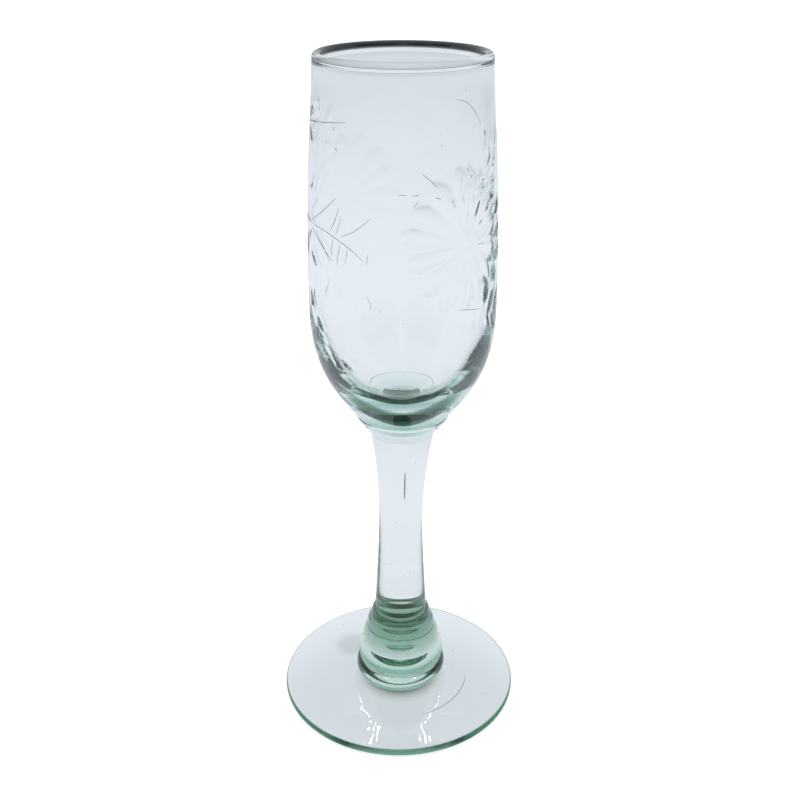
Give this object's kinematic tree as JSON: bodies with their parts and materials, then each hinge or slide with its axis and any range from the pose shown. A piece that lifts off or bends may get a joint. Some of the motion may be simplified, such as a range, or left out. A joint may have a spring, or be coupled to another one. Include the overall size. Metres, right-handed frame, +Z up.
{
  "type": "champagne flute",
  "caption": "Hand-blown flute of pale recycled glass: tall rounded bowl with cut flowers, solid stem, ringed knop and a wide round foot.",
  "frame": {"origin": "centre of the circle that the foot rests on", "axes": "+Z up, along the stem to the mouth; the glass is turned about +Z, and the largest cut flower faces -Y and a little +X"},
  "size_m": [0.0744, 0.0744, 0.2],
  "materials": {
    "bowl_glass": "clear, pale blue-grey, with cut flowers and a thick sea-green end",
    "stem_glass": "clear and almost colourless",
    "knop_glass": "clear sea-green",
    "collar_glass": "clear, almost colourless",
    "foot_glass": "clear, pale blue-grey, green at the edge"
  },
  "bodies": {
    "root": {"bowl": "bowl_glass", "stem": "stem_glass", "knop": "knop_glass", "collar": "collar_glass", "foot": "foot_glass"}
  },
  "joints": []
}
